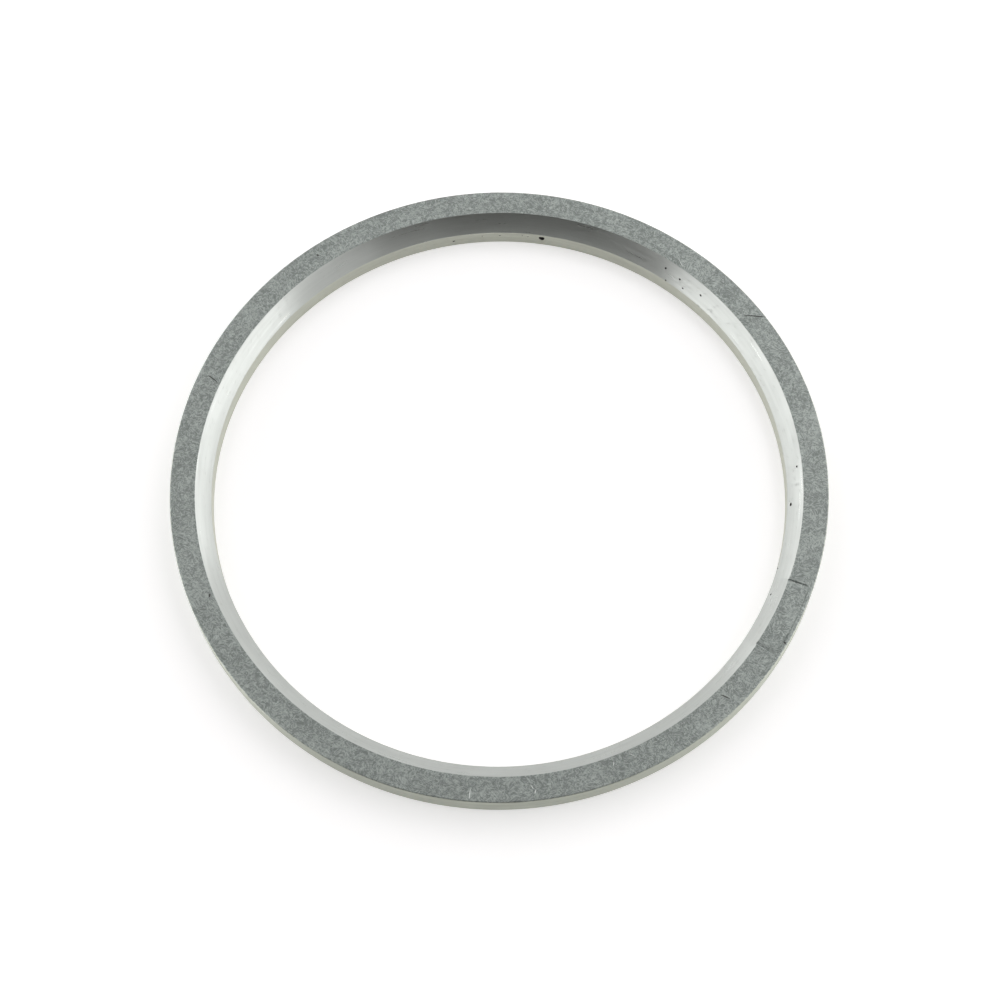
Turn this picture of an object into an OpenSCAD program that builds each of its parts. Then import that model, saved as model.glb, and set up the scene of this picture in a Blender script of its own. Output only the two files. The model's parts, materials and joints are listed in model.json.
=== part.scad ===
// Brake rotor register adapter: one aluminium ring, bored and coned on a lathe.
// The outer wall centres a rotor and the straight bore fits over the hub's register.
// The origin is the centre of the bottom face, and +Z is the axis, towards the cone.

/* [Registers] */
// Diameter of the outer wall, which fills the centre hole of the rotor
rotor_register_d = 70.6; // [45:0.1:140]
// Wall between the two registers, which takes up their difference in radius
wall_w = 4.27; // [3.4:0.01:10]

/* [Height] */
// Height of the ring between its two flat faces
ring_h = 4; // [3:0.1:10]

/* [Turned cone] */
// Width of the cone at the mouth of the bore, measured across the top face
cone_w = 1.55; // [0.3:0.05:2.6]
// Depth of the cone below the top face
cone_depth = 1.8; // [0.3:0.05:3.4]

/* [Foot of the outer wall] */
// Height of the lead-in chamfer that guides the ring into the rotor
lead_in_h = 1; // [0.4:0.05:3]
// Width of the lead-in chamfer, measured across the bottom face
lead_in_w = 0.6; // [0.2:0.05:2]

/* [Edges] */
// Radius of the worn edges of the outer wall, at the top and at the lead-in
worn_edge_r = 0.12; // [0.04:0.01:0.2]
// Width of the deburred edge at the bottom of the bore
bore_break = 0.15; // [0.05:0.01:0.4]

/* [Mould mark] */
// Depth of the shallow mark that the mould left in the top face
mark_depth = 0.06; // [0.02:0.01:0.3]
// Width of the face left between the mark and the outer wall
mark_margin = 0.44; // [0.3:0.02:1.2]
// Length of the mark along the ring, as an angle
mark_sweep_a = 14.4; // [4:0.2:60]
// Direction of the middle of the mark, counted from +X
mark_middle_a = -29.3; // [-180:0.1:180]
// Radius of the two outer corners of the mark
mark_corner_r = 0.4; // [0.1:0.05:0.8]

/* [Hidden] */
hub_register_d = rotor_register_d - 2 * wall_w;
outer_r = rotor_register_d / 2;
bore_r = hub_register_d / 2;
mouth_r = bore_r + cone_w;
mark_outer_r = outer_r - mark_margin;
mark_step_a = 0.5;
edge_steps = 4;
corner_steps = 8;
turned_facets = 360;
above = 1;

// Point at radius r in direction a
function polar(r, a) = [r * cos(a), r * sin(a)];

// Points of an arc round middle, from direction start_a through sweep_a
function arc_points(middle, r, start_a, sweep_a, steps) =
    [for (i = [0:steps]) middle + polar(r, start_a + sweep_a * i / steps)];

// Points of one corner, rounded by an arc of radius r that touches both its sides
function round_corner(before, corner, after, r) =
    let (
        to_before = (before - corner) / norm(before - corner),
        to_after = (after - corner) / norm(after - corner),
        half_a = acos(to_before * to_after) / 2,
        inwards = (to_before + to_after) / norm(to_before + to_after),
        middle = corner + inwards * r / sin(half_a),
        start = corner + to_before * r / tan(half_a) - middle,
        turn = sign(cross(start, corner - middle)) * (180 - 2 * half_a)
    )
    arc_points(middle, r, atan2(start[1], start[0]), turn, edge_steps);

// Half section of the ring, from the foot of the bore round to the foot of the outer wall
function ring_section() =
    let (
        bore_foot = [bore_r + bore_break, 0],
        mouth = [mouth_r, ring_h],
        top_edge = [outer_r, ring_h],
        lead_in_top = [outer_r, lead_in_h],
        lead_in_foot = [outer_r - lead_in_w, 0]
    )
    concat(
        [bore_foot, [bore_r, bore_break], [bore_r, ring_h - cone_depth], mouth],
        round_corner(mouth, top_edge, lead_in_top, worn_edge_r),
        round_corner(top_edge, lead_in_top, lead_in_foot, worn_edge_r),
        round_corner(lead_in_top, lead_in_foot, bore_foot, worn_edge_r)
    );

// Plan of the mould mark: a band of the face that runs out into the cone, with round outer corners
module mark_plan() {
    half_a = mark_sweep_a / 2;
    corner_middle_r = mark_outer_r - mark_corner_r;
    corner_a = asin(mark_corner_r / corner_middle_r);
    side_a = half_a - corner_a;
    rim_a = side_a - mark_step_a;
    rim_steps = ceil(2 * rim_a / mark_step_a);
    polygon(concat(
        [polar(bore_r, -half_a)],
        arc_points(polar(corner_middle_r, -side_a), mark_corner_r, -half_a - 90, 90 + corner_a, corner_steps),
        arc_points([0, 0], mark_outer_r, -rim_a, 2 * rim_a, rim_steps),
        arc_points(polar(corner_middle_r, side_a), mark_corner_r, side_a, 90 + corner_a, corner_steps),
        [polar(bore_r, half_a)]
    ));
}

// Shallow mark that a mould insert left in the top face, cut through by the later cone
module mould_mark() {
    rotate([0, 0, mark_middle_a])
        translate([0, 0, ring_h - mark_depth])
            linear_extrude(mark_depth + above)
                mark_plan();
}

// The ring: turned bore, cone and outer wall on a cast and tumbled blank
module register_ring() {
    color("silver")
        difference() {
            rotate_extrude($fn = turned_facets)
                polygon(ring_section());
            mould_mark();
        }
}

register_ring();
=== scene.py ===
import bmesh
import bpy
import json
import math
import random
from mathutils import Matrix, Vector, noise


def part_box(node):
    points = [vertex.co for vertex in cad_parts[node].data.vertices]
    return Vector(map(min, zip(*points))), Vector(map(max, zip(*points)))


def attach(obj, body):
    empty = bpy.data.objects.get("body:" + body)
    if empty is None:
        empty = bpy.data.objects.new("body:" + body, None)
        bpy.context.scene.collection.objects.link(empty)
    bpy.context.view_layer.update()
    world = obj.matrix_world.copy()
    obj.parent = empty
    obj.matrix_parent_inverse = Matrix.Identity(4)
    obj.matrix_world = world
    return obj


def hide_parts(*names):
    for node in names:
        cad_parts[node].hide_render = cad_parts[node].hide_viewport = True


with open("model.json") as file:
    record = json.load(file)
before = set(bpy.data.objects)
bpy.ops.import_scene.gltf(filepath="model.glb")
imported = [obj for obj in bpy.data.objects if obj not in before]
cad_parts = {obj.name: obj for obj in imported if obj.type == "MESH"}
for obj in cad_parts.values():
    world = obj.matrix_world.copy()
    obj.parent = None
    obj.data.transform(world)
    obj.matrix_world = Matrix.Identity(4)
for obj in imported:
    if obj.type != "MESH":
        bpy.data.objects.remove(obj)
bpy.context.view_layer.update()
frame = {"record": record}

# The photographer's table
# The ring lies flat on a white table with its cone up, and the camera looks down on it from the near side.
# All distances of the camera and the lamps are counted from the middle of the ring's top face.
MM = 0.001
scene = bpy.context.scene
ring_low, ring_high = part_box("register_ring")
ring_r = min(ring_high.x, ring_high.y, -ring_low.x, -ring_low.y)
ring_h = ring_high.z
face_middle = Vector((0, 0, ring_h))

camera_elevation = math.radians(68.15)
camera_roll = math.radians(-1.88)
camera_distance = 6.65 * ring_r
aim_right = 0.0003 * camera_distance
aim_down = 0.0090 * camera_distance
photo_width = 1000
pixels_per_ring_r = 329.3
sensor_width = 36

tilt = Matrix.Rotation(math.radians(90) - camera_elevation, 4, "X")
camera_data = bpy.data.cameras.new("table_camera")
camera_data.sensor_width = sensor_width
camera_data.lens = sensor_width * pixels_per_ring_r * camera_distance / ring_r / photo_width
camera_data.clip_start = 10 * MM
camera = bpy.data.objects.new("table_camera", camera_data)
camera_offset = tilt @ Vector((aim_right, -aim_down, camera_distance))
camera.matrix_world = (
    Matrix.Translation(face_middle + camera_offset) @ tilt @ Matrix.Rotation(camera_roll, 4, "Z")
)
scene.collection.objects.link(camera)
scene.camera = camera


def put(tree, kind, inputs=None, **settings):
    """Adds a node, with its settings and the values of its inputs by name or number."""
    node = tree.nodes.new(kind)
    for name, value in settings.items():
        setattr(node, name, value)
    for name, value in (inputs or {}).items():
        if isinstance(value, bpy.types.NodeSocket):
            tree.links.new(value, node.inputs[name])
        else:
            node.inputs[name].default_value = value
    return node


def sum_up(tree, operation, *values):
    """One math node on up to three numbers or sockets."""
    return put(tree, "ShaderNodeMath", dict(enumerate(values)), operation=operation).outputs[0]


def finish_material(name):
    """An empty material and its node tree."""
    material = bpy.data.materials.new(name)
    material.use_nodes = True
    material.node_tree.nodes.clear()
    return material


# The table top is a matt white sheet. It keeps a faint shadow under the ring.
table_half = 3.0
table_white = (0.82, 0.82, 0.82, 1)
lift_in_camera = 0.42
lift_in_mirror = 0.26

bm = bmesh.new()
bmesh.ops.create_grid(bm, x_segments=1, y_segments=1, size=table_half)
table_mesh = bpy.data.meshes.new("table_top")
bm.to_mesh(table_mesh)
bm.free()
table_top = bpy.data.objects.new("table_top", table_mesh)
scene.collection.objects.link(table_top)
table_paper = finish_material("table_paper")
tree = table_paper.node_tree
rays = put(tree, "ShaderNodeLightPath")
mirrored = sum_up(tree, "MAXIMUM", rays.outputs["Is Glossy Ray"], rays.outputs["Is Transmission Ray"])
lift = sum_up(tree, "MULTIPLY_ADD", rays.outputs["Is Camera Ray"], lift_in_camera,
              sum_up(tree, "MULTIPLY", mirrored, lift_in_mirror))
paper = put(tree, "ShaderNodeBsdfDiffuse", {"Color": table_white})
glow = put(tree, "ShaderNodeEmission", {"Strength": lift})
both = put(tree, "ShaderNodeAddShader", {0: paper.outputs[0], 1: glow.outputs[0]})
put(tree, "ShaderNodeOutputMaterial", {"Surface": both.outputs[0]})
table_mesh.materials.append(table_paper)

# Soft boxes stand round the far half of the table: low ones that the turned sides mirror, and high ones for
# the faces. The near side, where the photographer stands, stays dark, and the far part of the cone mirrors
# it.
room_light = (1.0, 0.97, 0.95, 1)
room_strength = 0.10
box_distance = 0.60
box_light = (1.0, 0.98, 0.985)


def soft_box(name, azimuths, elevations, glow):
    """A soft lamp that fills those directions, seen from the ring. A glow of 1 is white in a mirror."""
    a, e = (math.radians(sum(pair) / 2) for pair in (azimuths, elevations))
    outwards = Vector((math.cos(a) * math.cos(e), math.sin(a) * math.cos(e), math.sin(e)))
    width, height = (
        2 * box_distance * math.tan(math.radians((pair[1] - pair[0]) / 2)) for pair in (azimuths, elevations))
    lamp_data = bpy.data.lights.new(name, "AREA")
    lamp_data.shape = "RECTANGLE"
    lamp_data.size = width
    lamp_data.size_y = height
    lamp_data.energy = glow * math.pi * width * height
    lamp_data.color = box_light
    lamp = bpy.data.objects.new(name, lamp_data)
    lamp.matrix_world = (
        Matrix.Translation(face_middle + outwards * box_distance)
        @ outwards.to_track_quat("Z", "Y").to_matrix().to_4x4()
    )
    lamp.visible_camera = False
    scene.collection.objects.link(lamp)


soft_box("left_box", (122, 214), (1, 33), 2.00)
soft_box("right_box", (-26, 38), (1, 33), 2.15)
soft_box("right_near_box", (-56, -26), (1, 33), 0.55)
soft_box("near_right_box", (-76, -56), (1, 33), 0.16)
soft_box("far_box", (38, 122), (1, 33), 1.20)
soft_box("high_right_box", (-20, 60), (40, 75), 1.27)
soft_box("high_left_box", (120, 200), (40, 75), 0.90)

world = bpy.data.worlds.new("studio_room")
world.use_nodes = True
world.node_tree.nodes["Background"].inputs["Color"].default_value = room_light
world.node_tree.nodes["Background"].inputs["Strength"].default_value = room_strength
scene.world = world
scene.view_settings.view_transform = "Standard"

# The turned blank
# A ring of cast aluminium, tumbled all over and then turned: the bore, the cone at its mouth and the outer
# wall. The outer wall has a lead-in chamfer at its foot, and its edges are worn round by handling.
mount = {m["name"]: m for m in frame["record"]["mounts"]}
hub_bore = mount["hub_register_bore"]
bore_r = hub_bore["dims"]["r_mm"] * MM
bore_half = hub_bore["dims"]["length_mm"] / 2 * MM
bore_top = hub_bore["pos_m"][2] + bore_half
bore_break = hub_bore["pos_m"][2] - bore_half
cone_w = 1.55 * MM
mouth_r = bore_r + cone_w
lead_in_h = 1.0 * MM
lead_in_w = 0.6 * MM
worn_edge_r = 0.12 * MM
cut_edge_r = 0.035 * MM
turn_steps = 960

section = [
    (bore_r + bore_break, 0),
    (bore_r, bore_break),
    (bore_r, bore_top),
    (mouth_r, ring_h),
    (ring_r, ring_h),
    (ring_r, lead_in_h),
    (ring_r - lead_in_w, 0),
]
finish_names = ["tumbled_face", "turned_cone", "turned_bore", "turned_wall", "hollow_painted_shade", "fresh_scratch"]
FACE, CONE, BORE, WALL, PORE, SCRATCH = range(len(finish_names))
finish_of_side = [BORE, BORE, CONE, FACE, WALL, WALL, FACE]


def turn_section(bm, corners, steps):
    """Turns a closed section, given as radius and height, once round the Z axis."""
    verts = [bm.verts.new((r, 0, z)) for r, z in corners]
    edges = [bm.edges.new((verts[i - 1], verts[i])) for i in range(len(verts))]
    bmesh.ops.spin(
        bm, geom=verts + edges, cent=(0, 0, 0), axis=(0, 0, 1), dvec=(0, 0, 0),
        angle=math.tau, steps=steps, use_merge=True, use_normal_flip=False, use_duplicate=False,
    )
    bmesh.ops.recalc_face_normals(bm, faces=bm.faces)


def ring_verts(bm, r, z, near):
    """The vertices of the ring that lie near that radius and height."""
    return [v for v in bm.verts if abs(math.hypot(v.co.x, v.co.y) - r) < near and abs(v.co.z - z) < near]


def round_edge(bm, r, z, size, segments):
    """Rounds the edge that runs round the ring at that radius and height."""
    hit = set(ring_verts(bm, r, z, 0.002 * MM))
    edges = [e for e in bm.edges if e.verts[0] in hit and e.verts[1] in hit]
    bmesh.ops.bevel(
        bm, geom=edges, offset=size, offset_type="OFFSET", segments=segments,
        profile=0.5, affect="EDGES", material=-1, clamp_overlap=True,
    )


bm = bmesh.new()
turn_section(bm, section, turn_steps)
for face in bm.faces:
    middle = face.calc_center_median()
    place = Vector((math.hypot(middle.x, middle.y), middle.z))
    sides = []
    for i, corner in enumerate(section):
        a, b = Vector(corner), Vector(section[(i + 1) % len(section)])
        sides.append(((place - (a + b) / 2).length, finish_of_side[i]))
    face.material_index = min(sides)[1]
round_edge(bm, ring_r, ring_h, worn_edge_r, 5)
round_edge(bm, ring_r, lead_in_h, worn_edge_r, 3)
round_edge(bm, ring_r - lead_in_w, 0, worn_edge_r, 3)
round_edge(bm, bore_r, bore_top, cut_edge_r, 3)
round_edge(bm, mouth_r, ring_h, cut_edge_r, 2)

# Knocks beat the two outer edges unevenly, so they give way by a few hundredths of a millimetre.
beaten = 0.035 * MM
beat_length = 1.1 * MM
for z in (ring_h, 0):
    r = ring_r if z else ring_r - lead_in_w
    for vert in ring_verts(bm, r, z, 0.8 * worn_edge_r):
        depth = beaten * (0.5 + 0.5 * noise.noise(vert.co / beat_length))
        inwards = Vector((-vert.co.x, -vert.co.y, 0)).normalized() + Vector((0, 0, -1 if z else 1))
        vert.co += inwards * depth * 0.7

ring_mesh = bpy.data.meshes.new("ring_body")
bm.to_mesh(ring_mesh)
bm.free()
for name in finish_names:
    ring_mesh.materials.append(finish_material(name))
ring = bpy.data.objects.new("ring_body", ring_mesh)
scene.collection.objects.link(ring)

# The mould mark
# An insert in the casting mould left a shallow sunken panel in the top face, with a fine groove round it.
# The cone was turned later and cut the panel's inner side away.
mark_depth = 0.06 * MM
mark_outer_r = ring_r - 0.44 * MM
mark_first_a = -22.1
mark_last_a = -36.5
mark_corner_r = 0.4 * MM
mark_steps = 15
mark_groove_w = 0.13 * MM
mark_groove_depth = 0.07 * MM
mark_floor = ring_h - mark_depth
clear_above = 0.5 * MM


def cut_from_ring(cutter, finish):
    """Cuts a closed shape out of the ring. The new faces get that finish."""
    for face in cutter.faces:
        face.material_index = finish
    cutter_mesh = bpy.data.meshes.new("cutter")
    cutter.to_mesh(cutter_mesh)
    cutter.free()
    tool = bpy.data.objects.new("cutter", cutter_mesh)
    scene.collection.objects.link(tool)
    cut = ring.modifiers.new("cut", "BOOLEAN")
    cut.operation = "DIFFERENCE"
    cut.solver = "EXACT"
    cut.material_mode = "INDEX"
    cut.object = tool
    bpy.context.view_layer.update()
    whole_mesh = ring.data
    ring.data = bpy.data.meshes.new_from_object(ring.evaluated_get(bpy.context.evaluated_depsgraph_get()))
    ring.modifiers.remove(cut)
    bpy.data.meshes.remove(whole_mesh)
    bpy.data.objects.remove(tool)
    bpy.data.meshes.remove(cutter_mesh)


bm = bmesh.new()
mark_side = [bm.verts.new((r, 0, mark_floor)) for r in (bore_r, mark_outer_r)]
side_edge = bm.edges.new(mark_side)
to_first = Matrix.Rotation(math.radians(mark_first_a), 3, "Z")
bmesh.ops.rotate(bm, verts=mark_side, cent=(0, 0, 0), matrix=to_first)
bmesh.ops.spin(
    bm, geom=mark_side + [side_edge], cent=(0, 0, 0), axis=(0, 0, 1), dvec=(0, 0, 0),
    angle=math.radians(mark_last_a - mark_first_a), steps=mark_steps, use_merge=False, use_duplicate=False,
)
corners = [v for v in bm.verts if len(v.link_edges) == 2 and v.co.length > (bore_r + mark_outer_r) / 2]
bmesh.ops.bevel(
    bm, geom=corners, offset=mark_corner_r, offset_type="OFFSET", segments=6,
    profile=0.5, affect="VERTICES", material=-1,
)
raised = bmesh.ops.extrude_face_region(bm, geom=bm.faces[:])["geom"]
raised_verts = [g for g in raised if isinstance(g, bmesh.types.BMVert)]
bmesh.ops.translate(bm, verts=raised_verts, vec=(0, 0, mark_depth + clear_above))
low_verts = [v for v in bm.verts if v.co.z < ring_h]
outline = [v for v in low_verts if any(e.other_vert(v).co.z > ring_h for e in v.link_edges)]
floor = [f for f in bm.faces if all(v.co.z < ring_h for v in f.verts)]
bmesh.ops.inset_region(
    bm, faces=floor, thickness=mark_groove_w, depth=0, use_even_offset=True, use_boundary=True)
bmesh.ops.translate(bm, verts=outline, vec=(0, 0, -mark_groove_depth))
bmesh.ops.recalc_face_normals(bm, faces=bm.faces)
cut_from_ring(bm, FACE)

# Pores and knocks
# The casting holds gas pores, which the turning tool opened in the cone and the bore. Handling and tumbling
# left gouges and bright scratches on the faces. A cone pore has a radius, an azimuth and a size, and a bore
# pore an azimuth, a depth below the top face and a size. A gouge or scratch has a radius, an azimuth, a
# length, a width and the turn of its length away from the radius. Lengths are in mm and angles in degrees.
cone_pores = [
    (31.89, 52.45, 0.11), (31.78, 48.81, 0.10), (31.09, 51.32, 0.09), (31.34, 47.33, 0.09),
    (31.80, 43.32, 0.11), (32.09, 1.27, 0.11), (31.38, -6.09, 0.15), (31.32, -25.38, 0.10),
    (31.10, -19.63, 0.08),
]
bore_pores = [
    (79.3, 2.50, 0.34), (97.8, 2.93, 0.13), (88.1, 2.45, 0.09), (91.8, 2.45, 0.08), (82.2, 2.45, 0.08),
    (83.4, 2.3, 0.07),
]
# The dark gouges take the near-black pore finish, whose colour is painted shade inside them.
dark_gouges = [
    (34.30, 32.8, 2.3, 0.11, -39), (33.55, 157.0, 1.5, 0.11, -16), (33.60, -47.8, 1.1, 0.12, 20),
    (34.03, 124.8, 0.3, 0.22, 0), (34.97, -33.5, 0.28, 0.20, 0), (33.03, -158.7, 0.5, 0.16, 60),
]
bright_scratches = [
    (34.44, -96.6, 1.0, 0.11, 0), (33.77, -86.0, 0.5, 0.12, 30), (34.33, -85.5, 0.5, 0.10, -20),
    (33.20, -67.6, 0.6, 0.10, 40), (33.36, -71.2, 0.5, 0.10, -30), (33.12, 50.5, 1.3, 0.09, 60),
]
gouge_depth = 0.045 * MM
chance = random.Random(7)


def dent(bm, place, turn, size, rough):
    """Adds a lumpy ball with those three half sizes, to be cut out of the ring."""
    ball = bmesh.ops.create_icosphere(
        bm, subdivisions=2, radius=1,
        matrix=Matrix.Translation(place) @ turn @ Matrix.Diagonal((*size, 1)),
    )["verts"]
    for vert in ball:
        vert.co = place + (vert.co - place) * chance.uniform(1 - rough, 1 + rough)


def round_axis(azimuth):
    """Turns a shape from the +X side of the ring to that azimuth, in degrees."""
    return Matrix.Rotation(math.radians(azimuth), 4, "Z")


cone_slope = math.atan2(ring_h - bore_top, cone_w)
bm = bmesh.new()
for r, azimuth, size in cone_pores:
    height = bore_top + (r * MM - bore_r) * math.tan(cone_slope)
    place = round_axis(azimuth) @ Vector((r * MM, 0, height))
    lean = round_axis(azimuth) @ Matrix.Rotation(-cone_slope, 4, "Y")
    dent(bm, place, lean, (size * MM, size * 1.25 * MM, size * 1.3 * MM), 0.22)
for azimuth, below, size in bore_pores:
    place = round_axis(azimuth) @ Vector((bore_r, 0, ring_h - below * MM))
    dent(bm, place, round_axis(azimuth), (size * 1.2 * MM, size * 1.1 * MM, size * MM), 0.25)
for r, azimuth, length, width, turn in dark_gouges:
    place = round_axis(azimuth) @ Vector((r * MM, 0, ring_h))
    dent(bm, place, round_axis(azimuth + turn), (length / 2 * MM, width / 2 * MM, gouge_depth * 1.6), 0.12)
cut_from_ring(bm, PORE)

bm = bmesh.new()
for r, azimuth, length, width, turn in bright_scratches:
    place = round_axis(azimuth) @ Vector((r * MM, 0, ring_h))
    dent(bm, place, round_axis(azimuth + turn), (length / 2 * MM, width / 2 * MM, gouge_depth), 0.1)
cut_from_ring(bm, SCRATCH)

# Finishes
# The flat faces keep the skin that casting and tumbling gave them, and the rest is bright from the lathe.
# All patterns are measured in millimetres on the ring itself.
skin_dark = (0.235, 0.262, 0.248, 1)
skin_light = (0.465, 0.510, 0.485, 1)
cone_clean = (0.575, 0.605, 0.58, 1)
cone_dull = (0.47, 0.50, 0.475, 1)
bore_clean = (0.60, 0.62, 0.54, 1)
bore_dull = (0.48, 0.49, 0.43, 1)
wall_clean = (0.57, 0.60, 0.52, 1)
wall_dull = (0.42, 0.44, 0.39, 1)
# Painted shade: the near-black colours of the pores and dark gouges stand for the shade inside these hollows,
# much darker than the cast skin itself.
pore_shade_dark = (0.05, 0.05, 0.05, 1)
pore_shade_light = (0.20, 0.20, 0.19, 1)
scratch_dark = (0.55, 0.58, 0.56, 1)
scratch_light = (0.85, 0.88, 0.86, 1)
feed_pitch = 0.14


def fade(tree, value, zero_at, one_at):
    """Rises smoothly from 0 to 1 while the value goes between two limits."""
    limits = {"Value": value, "From Min": zero_at, "From Max": one_at}
    return put(tree, "ShaderNodeMapRange", limits, interpolation_type="SMOOTHSTEP").outputs[0]


def blend_colors(tree, share, first, second):
    """The second colour by that share, over the first."""
    mix = put(tree, "ShaderNodeMix", data_type="RGBA")
    mix.inputs[6].default_value = first
    mix.inputs[7].default_value = second
    tree.links.new(share, mix.inputs[0])
    return mix.outputs[2]


def cloud(tree, place, per_mm, detail, color=False):
    """Soft noise from 0 to 1, with about that many lumps to a millimetre."""
    lumps = put(tree, "ShaderNodeTexNoise", {"Vector": place, "Scale": per_mm, "Detail": detail})
    return lumps.outputs["Color" if color else "Fac"]


def start_group(name, inputs, outputs):
    """A node group with those inputs, where None stands for a vector, and outputs of numbers."""
    group = bpy.data.node_groups.new(name, "ShaderNodeTree")
    for socket, value in inputs.items():
        kind = "NodeSocketVector" if value is None else "NodeSocketFloat"
        made = group.interface.new_socket(socket, in_out="INPUT", socket_type=kind)
        if value is not None:
            made.default_value = value
    for socket in outputs:
        group.interface.new_socket(socket, in_out="OUTPUT", socket_type="NodeSocketFloat")
    return group, put(group, "NodeGroupInput").outputs


# Short scratches that all run one way, give or take the bend of the place that they are given.
scratch_group, given = start_group(
    "short_scratches", {"Place": None, "Turn": 0.0, "Length": 0.6, "Width": 0.08, "Share": 0.3}, ["Mask"])
tree = scratch_group
turned = put(
    tree, "ShaderNodeVectorRotate", {"Vector": given["Place"], "Angle": given["Turn"]},
    rotation_type="Z_AXIS",
)
cell_size = put(tree, "ShaderNodeCombineXYZ", {
    "X": sum_up(tree, "MULTIPLY", given["Length"], 1.8),
    "Y": sum_up(tree, "MULTIPLY", given["Width"], 1.8),
    "Z": 1.0,
})
in_cells = put(
    tree, "ShaderNodeVectorMath", {0: turned.outputs[0], 1: cell_size.outputs[0]}, operation="DIVIDE")
cells = put(
    tree, "ShaderNodeTexVoronoi", {"Vector": in_cells.outputs[0], "Scale": 1.0}, voronoi_dimensions="2D")
dice = put(tree, "ShaderNodeSeparateColor", {0: cells.outputs["Color"]})
there = sum_up(tree, "LESS_THAN", dice.outputs[0], given["Share"])
strength = sum_up(tree, "MULTIPLY_ADD", dice.outputs[1], 0.7, 0.3)
body = fade(tree, cells.outputs["Distance"], 0.38, 0.10)
mask = sum_up(tree, "MULTIPLY", sum_up(tree, "MULTIPLY", body, there), strength)
put(tree, "NodeGroupOutput", {"Mask": mask})


def scratches(tree, place, degrees, length, width, share):
    """The mask of short scratches in one direction."""
    inputs = {"Place": place, "Turn": math.radians(degrees), "Length": length, "Width": width, "Share": share}
    return put(tree, "ShaderNodeGroup", inputs, node_tree=scratch_group).outputs["Mask"]


# The tumbled skin: soft mottling, a fibrous grain, and short light and dark scratches in every direction.
skin_group, given = start_group("tumbled_skin", {"Place": None}, ["Tone", "Height", "Dullness"])
tree = skin_group
shove = put(
    tree, "ShaderNodeVectorMath", {0: cloud(tree, given["Place"], 0.55, 1.0, True), 1: (0.5, 0.5, 0.5)},
    operation="SUBTRACT")
bent = put(tree, "ShaderNodeVectorMath", {0: shove.outputs[0], 1: (1.6, 1.6, 1.6), 2: given["Place"]},
           operation="MULTIPLY_ADD").outputs[0]
light = None
for degrees, length, width, share in [
    (12, 0.60, 0.060, 0.20), (38, 0.50, 0.055, 0.34), (52, 0.80, 0.065, 0.26), (71, 0.42, 0.055, 0.28),
    (103, 0.50, 0.055, 0.22), (128, 0.38, 0.055, 0.24), (157, 0.45, 0.060, 0.20),
]:
    one_way = scratches(tree, bent, degrees, length, width, share)
    light = one_way if light is None else sum_up(tree, "MAXIMUM", light, one_way)
dark = sum_up(
    tree, "MAXIMUM", scratches(tree, bent, 25, 0.5, 0.09, 0.25), scratches(tree, bent, 115, 0.6, 0.08, 0.25))
fibres = None
for degrees in (42, -28):
    turned = put(tree, "ShaderNodeVectorRotate", {"Vector": bent, "Angle": math.radians(degrees)},
                 rotation_type="Z_AXIS").outputs[0]
    drawn = put(
        tree, "ShaderNodeVectorMath", {0: turned, 1: (0.42, 1.0, 1.0)}, operation="MULTIPLY").outputs[0]
    one_way = cloud(tree, drawn, 7.5, 1.5)
    fibres = one_way if fibres is None else sum_up(tree, "ADD", fibres, one_way)
mottle = cloud(tree, given["Place"], 0.35, 2.0)
lumps = cloud(tree, given["Place"], 1.8, 2.0)
specks = put(tree, "ShaderNodeTexVoronoi", {"Vector": given["Place"], "Scale": 1.1}).outputs["Distance"]
speck = fade(tree, specks, 0.12, 0.05)
pits = put(tree, "ShaderNodeTexVoronoi", {"Vector": given["Place"], "Scale": 1.3}).outputs["Distance"]
pit = fade(tree, pits, 0.15, 0.06)
tone = sum_up(tree, "MULTIPLY_ADD", mottle, 0.7, -0.35)
tone = sum_up(tree, "ADD", tone, sum_up(tree, "MULTIPLY_ADD", lumps, 0.9, -0.45))
tone = sum_up(tree, "ADD", tone, sum_up(tree, "MULTIPLY_ADD", fibres, 1.5, -1.5))
tone = sum_up(tree, "ADD", tone, sum_up(tree, "MULTIPLY", light, 0.75))
tone = sum_up(tree, "SUBTRACT", tone, sum_up(tree, "MULTIPLY", dark, 0.45))
tone = sum_up(tree, "ADD", tone, sum_up(tree, "MULTIPLY", speck, 0.90))
tone = sum_up(tree, "SUBTRACT", tone, sum_up(tree, "MULTIPLY", pit, 0.60))
tone = sum_up(tree, "ADD", tone, 0.30)
height = sum_up(tree, "SUBTRACT", fibres, sum_up(tree, "MULTIPLY", light, 0.5))
height = sum_up(tree, "SUBTRACT", height, sum_up(tree, "MULTIPLY", pit, 0.8))
height = sum_up(tree, "SUBTRACT", height, sum_up(tree, "MULTIPLY", dark, 0.4))
dullness = sum_up(tree, "SUBTRACT", 1.0, light)
put(tree, "NodeGroupOutput", {"Tone": tone, "Height": height, "Dullness": dullness})

# Marks of the lathe: regular feed lines, long uneven streaks round the axis, and short knocks along them.
turning_group, given = start_group(
    "turning_marks",
    {"Place": None, "Across": 0.0, "Pitch": feed_pitch},
    ["Feed", "Streaks", "Knocks", "Haze"],
)
tree = turning_group
parts = put(tree, "ShaderNodeSeparateXYZ", {0: given["Place"]}).outputs
wave = sum_up(tree, "DIVIDE", sum_up(tree, "MULTIPLY", given["Across"], math.tau), given["Pitch"])
feed = sum_up(tree, "MULTIPLY_ADD", sum_up(tree, "SINE", wave), 0.5, 0.5)
long_place = put(tree, "ShaderNodeCombineXYZ", {
    "X": sum_up(tree, "MULTIPLY", parts["X"], 0.16),
    "Y": sum_up(tree, "MULTIPLY", parts["Y"], 0.16),
    "Z": sum_up(tree, "MULTIPLY", given["Across"], 6.0),
}).outputs[0]
streaks = cloud(tree, long_place, 1.0, 3.0)
azimuth = sum_up(tree, "ARCTAN2", parts["Y"], parts["X"])
unrolled = put(tree, "ShaderNodeCombineXYZ", {
    "X": sum_up(tree, "MULTIPLY", azimuth, bore_r / MM),
    "Y": given["Across"],
}).outputs[0]
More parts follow.
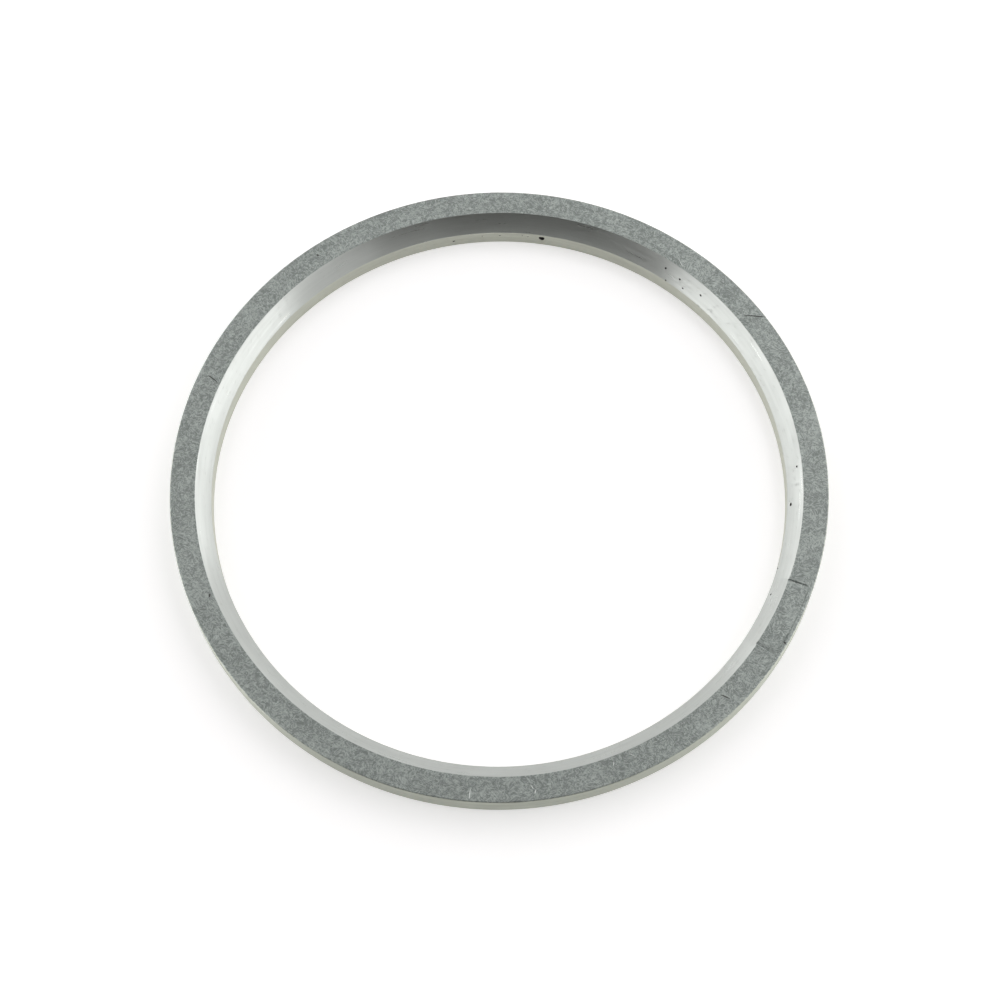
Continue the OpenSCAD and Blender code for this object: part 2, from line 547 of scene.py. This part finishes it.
knocks = sum_up(
    tree, "MAXIMUM",
    scratches(tree, unrolled, 2, 0.45, 0.07, 0.10),
    scratches(tree, unrolled, 24, 0.5, 0.06, 0.05),
)
haze = cloud(tree, given["Place"], 0.4, 3.0)
put(tree, "NodeGroupOutput", {"Feed": feed, "Streaks": streaks, "Knocks": knocks, "Haze": haze})


def start_finish(finish):
    """The tree of one of the ring's materials, and the place on the ring in millimetres."""
    tree = ring.data.materials[finish].node_tree
    place = put(tree, "ShaderNodeTexCoord").outputs["Object"]
    in_mm = put(tree, "ShaderNodeVectorMath", {0: place, "Scale": 1 / MM}, operation="SCALE").outputs[0]
    return tree, in_mm


def close_finish(tree, color, roughness, height, bump, anisotropic=0.0):
    """The metal itself, from a colour, a roughness and a height that change over the surface."""
    relief = put(tree, "ShaderNodeBump", {"Height": height, "Distance": bump * MM, "Strength": 1.0})
    metal = put(tree, "ShaderNodeBsdfPrincipled", {
        "Base Color": color, "Metallic": 1.0, "Roughness": roughness, "Normal": relief.outputs[0],
        "Anisotropic": anisotropic, "Anisotropic Rotation": 0.25 if anisotropic else 0.0,
    })
    if anisotropic:
        tangent = put(tree, "ShaderNodeTangent", direction_type="RADIAL", axis="Z")
        tree.links.new(tangent.outputs[0], metal.inputs["Tangent"])
    put(tree, "ShaderNodeOutputMaterial", {"Surface": metal.outputs[0]})


def radius_of(tree, in_mm):
    """The distance from the ring's axis in millimetres."""
    flat = put(tree, "ShaderNodeVectorMath", {0: in_mm, 1: (1, 1, 0)}, operation="MULTIPLY").outputs[0]
    return put(tree, "ShaderNodeVectorMath", {0: flat}, operation="LENGTH").outputs["Value"]


def turned_finish(finish, clean, dull, across, rough, bump, anisotropic):
    """A turned side of the ring. Across gives the coordinate that crosses its feed lines."""
    tree, in_mm = start_finish(finish)
    inputs = {"Place": in_mm, "Across": across(tree, in_mm)}
    marks = put(tree, "ShaderNodeGroup", inputs, node_tree=turning_group)
    feed, streaks, knocks, haze = marks.outputs
    dullness = sum_up(tree, "MULTIPLY_ADD", feed, 0.06, sum_up(tree, "MULTIPLY_ADD", streaks, 0.6, -0.2))
    dullness = sum_up(tree, "MULTIPLY_ADD", haze, 0.3, dullness)
    color = blend_colors(tree, fade(tree, dullness, 0.0, 1.0), clean, dull)
    roughness = sum_up(tree, "MULTIPLY_ADD", streaks, 0.26, rough - 0.13)
    roughness = sum_up(tree, "MULTIPLY_ADD", knocks, 0.30, roughness)
    height = sum_up(tree, "MULTIPLY_ADD", feed, 0.35, sum_up(tree, "MULTIPLY", knocks, -1.0))
    height = sum_up(tree, "MULTIPLY_ADD", streaks, 0.6, height)
    close_finish(tree, color, roughness, height, bump, anisotropic)


def height_of(tree, in_mm):
    """The height above the bottom face in millimetres."""
    return put(tree, "ShaderNodeSeparateXYZ", {0: in_mm}).outputs["Z"]


tree, in_mm = start_finish(FACE)
skin = put(tree, "ShaderNodeGroup", {"Place": in_mm}, node_tree=skin_group).outputs
color = blend_colors(tree, skin["Tone"], skin_dark, skin_light)
roughness = sum_up(tree, "MULTIPLY_ADD", skin["Dullness"], 0.10, 0.42)
close_finish(tree, color, roughness, skin["Height"], 0.008)

turned_finish(CONE, cone_clean, cone_dull, radius_of, 0.32, 0.0015, 0.9)
turned_finish(BORE, bore_clean, bore_dull, height_of, 0.38, 0.0015, 0.9)
turned_finish(WALL, wall_clean, wall_dull, height_of, 0.38, 0.0015, 0.9)

# The inside of the pores and dark gouges: a near-black colour that is painted shade of the hollow, with lumps
# that also make its bump.
tree, in_mm = start_finish(PORE)
pore_shade_and_relief = cloud(tree, in_mm, 9.0, 3.0)
close_finish(tree, blend_colors(tree, pore_shade_and_relief, pore_shade_dark, pore_shade_light), 0.6, pore_shade_and_relief, 0.02)

tree, in_mm = start_finish(SCRATCH)
grain = cloud(tree, in_mm, 9.0, 3.0)
close_finish(tree, blend_colors(tree, grain, scratch_dark, scratch_light), 0.35, grain, 0.01)

ring.data.shade_smooth()
ring.data.set_sharp_from_angle(angle=math.radians(30))
even = ring.modifiers.new("even_normals", "WEIGHTED_NORMAL")
even.keep_sharp = True

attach(ring, "root")
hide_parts("register_ring")
